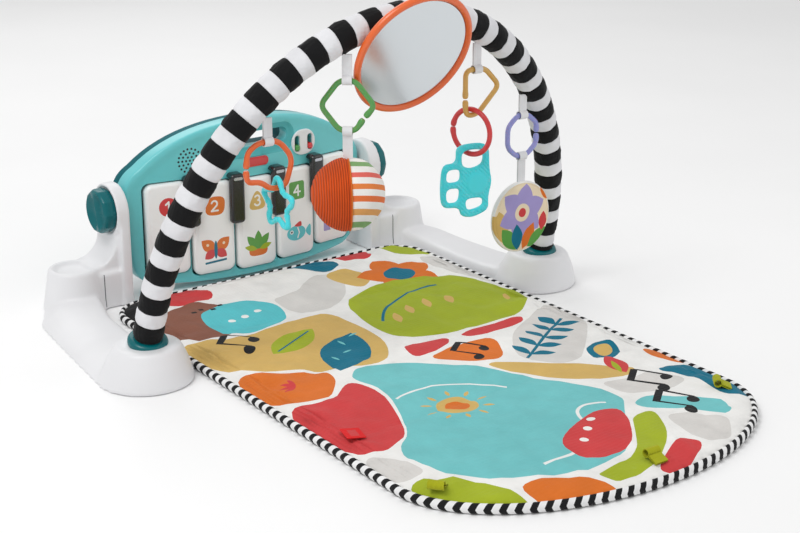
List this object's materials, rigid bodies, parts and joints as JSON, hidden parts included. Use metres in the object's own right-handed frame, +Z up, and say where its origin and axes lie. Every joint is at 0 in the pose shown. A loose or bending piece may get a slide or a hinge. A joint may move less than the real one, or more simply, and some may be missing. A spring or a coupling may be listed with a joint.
{
  "type": "activity play gym",
  "caption": "Baby play gym: padded mat, striped fabric arch with hanging toys and a mirror, and a tilting toy piano between two floor bases.",
  "frame": {"origin": "on the floor, midway between the two arch sockets", "axes": "+X right along the arch seen from the mat end, +Y back towards the piano, +Z up"},
  "size_m": [0.714, 0.8848, 0.4487],
  "materials": {
    "white_plastic": "satin",
    "grey_plastic": "matt",
    "dark_teal_gloss": "gloss",
    "steel": "satin",
    "teal_plastic": "satin gloss",
    "green_plastic": "satin gloss",
    "circuit_green": "matt",
    "key_rubber": "matt",
    "battery_case": "satin",
    "key_white": "satin gloss",
    "key_black": "gloss",
    "red_plastic": "satin gloss",
    "orange_plastic": "satin gloss",
    "tan_plastic": "satin gloss",
    "lilac_plastic": "satin gloss",
    "aqua_rubber": "satin",
    "mirror_film": "polished",
    "strap_fabric": "woven",
    "striped_fabric": "woven black and white stripes",
    "mat_print": "printed woven, colour patches",
    "lime_tape": "woven tape",
    "orange_corduroy": "corduroy",
    "striped_jersey": "printed jersey stripes",
    "printed_felt": "printed felt"
  },
  "bodies": {
    "base": {"left_base_shell": "white_plastic", "right_base_shell": "white_plastic", "left_base_cover": "grey_plastic", "right_base_cover": "grey_plastic", "mat_pad": "mat_print", "mat_binding": "striped_fabric", "left_mat_loop": "lime_tape", "front_mat_loop": "lime_tape", "right_mat_loop": "lime_tape"},
    "arch": {"left_arch_rod": "steel", "right_arch_rod": "steel", "arch_connector": "grey_plastic", "arch_sleeve": "striped_fabric", "left_collar": "dark_teal_gloss", "right_collar": "dark_teal_gloss", "mirror_strap": "strap_fabric"},
    "piano": {"piano_front": "teal_plastic", "piano_back": "dark_teal_gloss", "speaker": "grey_plastic", "circuit_board": "circuit_green", "key_pad": "key_rubber", "switch_plate": "white_plastic", "battery_contacts": "steel", "battery_1": "battery_case", "battery_2": "battery_case", "battery_3": "battery_case", "black_key_1": "key_black", "black_key_2": "key_black", "black_key_3": "key_black", "black_key_4": "key_black"},
    "door": {"battery_door": "dark_teal_gloss", "door_screw": "steel"},
    "knob_left": {"left_knob": "dark_teal_gloss", "left_knob_bolt": "steel"},
    "knob_right": {"right_knob": "dark_teal_gloss", "right_knob_bolt": "steel"},
    "volume": {"volume_slider": "green_plastic"},
    "mode": {"mode_slider": "red_plastic"},
    "mirror": {"mirror_frame": "orange_plastic", "mirror_plate": "mirror_film"},
    "star_hanger": {"star_strap": "strap_fabric", "orange_link": "orange_plastic"},
    "star": {"star_teether": "aqua_rubber"},
    "ball_hanger": {"ball_top_strap": "strap_fabric", "green_link": "green_plastic"},
    "ball": {"ball_strap": "strap_fabric", "ball_cord_half": "orange_corduroy", "ball_stripe_half": "striped_jersey"},
    "teether_hanger": {"teether_strap": "strap_fabric", "tan_link": "tan_plastic"},
    "ring": {"red_link": "red_plastic"},
    "teether": {"loop_teether": "aqua_rubber"},
    "disc_hanger": {"disc_top_strap": "strap_fabric", "lilac_link": "lilac_plastic"},
    "disc": {"print_disc": "printed_felt"},
    "key_1": {"white_key_1": "key_white"},
    "key_2": {"white_key_2": "key_white"},
    "key_3": {"white_key_3": "key_white"},
    "key_4": {"white_key_4": "key_white"},
    "key_5": {"white_key_5": "key_white"}
  },
  "joints": [
    {"name": "arch_lift", "type": "slide", "parent": "base", "child": "arch", "axis": [0, -0.2706, 0.9627], "range_m": [0, 0.06]},
    {"name": "piano_tilt", "type": "hinge", "parent": "base", "child": "piano", "pos_m": [0, 0.283, 0.1255], "axis": [-1, 0, 0], "range_deg": [0, 55]},
    {"name": "door_out", "type": "slide", "parent": "piano", "child": "door", "axis": [0, 1, 0], "range_m": [0, 0.03]},
    {"name": "left_knob_turn", "type": "hinge", "parent": "base", "child": "knob_left", "pos_m": [-0.2, 0.283, 0.1255], "axis": [1, 0, 0], "range_deg": [-90, 90]},
    {"name": "right_knob_turn", "type": "hinge", "parent": "base", "child": "knob_right", "pos_m": [0.2, 0.283, 0.1255], "axis": [1, 0, 0], "range_deg": [-90, 90]},
    {"name": "key_1_press", "type": "hinge", "parent": "piano", "child": "key_1", "pos_m": [-0.1299, 0.2661, 0.15033], "axis": [0.988, -0.1546, 0], "range_deg": [0, 2.5], "stiffness_Nm_per_rad": 2},
    {"name": "key_2_press", "type": "hinge", "parent": "piano", "child": "key_2", "pos_m": [-0.06515, 0.25853, 0.14258], "axis": [0.997, -0.0776, 0], "range_deg": [0, 2.5], "stiffness_Nm_per_rad": 2},
    {"name": "key_3_press", "type": "hinge", "parent": "piano", "child": "key_3", "pos_m": [0, 0.256, 0.14], "axis": [1, 0, 0], "range_deg": [0, 2.5], "stiffness_Nm_per_rad": 2},
    {"name": "key_4_press", "type": "hinge", "parent": "piano", "child": "key_4", "pos_m": [0.06515, 0.25853, 0.14258], "axis": [0.997, 0.0776, 0], "range_deg": [0, 2.5], "stiffness_Nm_per_rad": 2},
    {"name": "key_5_press", "type": "hinge", "parent": "piano", "child": "key_5", "pos_m": [0.1299, 0.2661, 0.15033], "axis": [0.988, 0.1546, 0], "range_deg": [0, 2.5], "stiffness_Nm_per_rad": 2},
    {"name": "volume_slide", "type": "slide", "parent": "piano", "child": "volume", "axis": [0, 0, 1], "range_m": [0, 0.012]},
    {"name": "mode_slide", "type": "slide", "parent": "piano", "child": "mode", "axis": [0, 0, 1], "range_m": [0, 0.012]},
    {"name": "mirror_swing", "type": "hinge", "parent": "arch", "child": "mirror", "pos_m": [0, -0.12432, 0.4078], "axis": [1, 0, 0], "range_deg": [-3, 12]},
    {"name": "star_strap_swing", "type": "hinge", "parent": "arch", "child": "star_hanger", "pos_m": [-0.179, -0.08346, 0.31251], "axis": [1, 0, 0], "range_deg": [-15, 15]},
    {"name": "star_swing", "type": "hinge", "parent": "star_hanger", "child": "star", "pos_m": [-0.167, -0.08346, 0.234], "axis": [1, 0, 0], "range_deg": [-15, 15]},
    {"name": "ball_strap_swing", "type": "hinge", "parent": "arch", "child": "ball_hanger", "pos_m": [-0.087, -0.10854, 0.37808], "axis": [0.766, -0.6428, 0], "range_deg": [-10, 1]},
    {"name": "ball_swing", "type": "hinge", "parent": "ball_hanger", "child": "ball", "pos_m": [-0.087, -0.10854, 0.294], "axis": [0.766, -0.6428, 0], "range_deg": [-8, 14]},
    {"name": "teether_strap_swing", "type": "hinge", "parent": "arch", "child": "teether_hanger", "pos_m": [0.11, -0.09676, 0.36677], "axis": [1, 0, 0], "range_deg": [-20, 20]},
    {"name": "ring_swing", "type": "hinge", "parent": "teether_hanger", "child": "ring", "pos_m": [0.103, -0.09676, 0.2837], "axis": [1, 0, 0], "range_deg": [-12, 12]},
    {"name": "teether_swing", "type": "hinge", "parent": "ring", "child": "teether", "pos_m": [0.103, -0.09676, 0.2349], "axis": [1, 0, 0], "range_deg": [-2, 7]},
    {"name": "disc_strap_swing", "type": "hinge", "parent": "arch", "child": "disc_hanger", "pos_m": [0.2, -0.07752, 0.28787], "axis": [1, 0, 0], "range_deg": [-20, 20]},
    {"name": "disc_swing", "type": "hinge", "parent": "disc_hanger", "child": "disc", "pos_m": [0.2, -0.07752, 0.2133], "axis": [1, 0, 0], "range_deg": [-18, 18]}
  ]
}
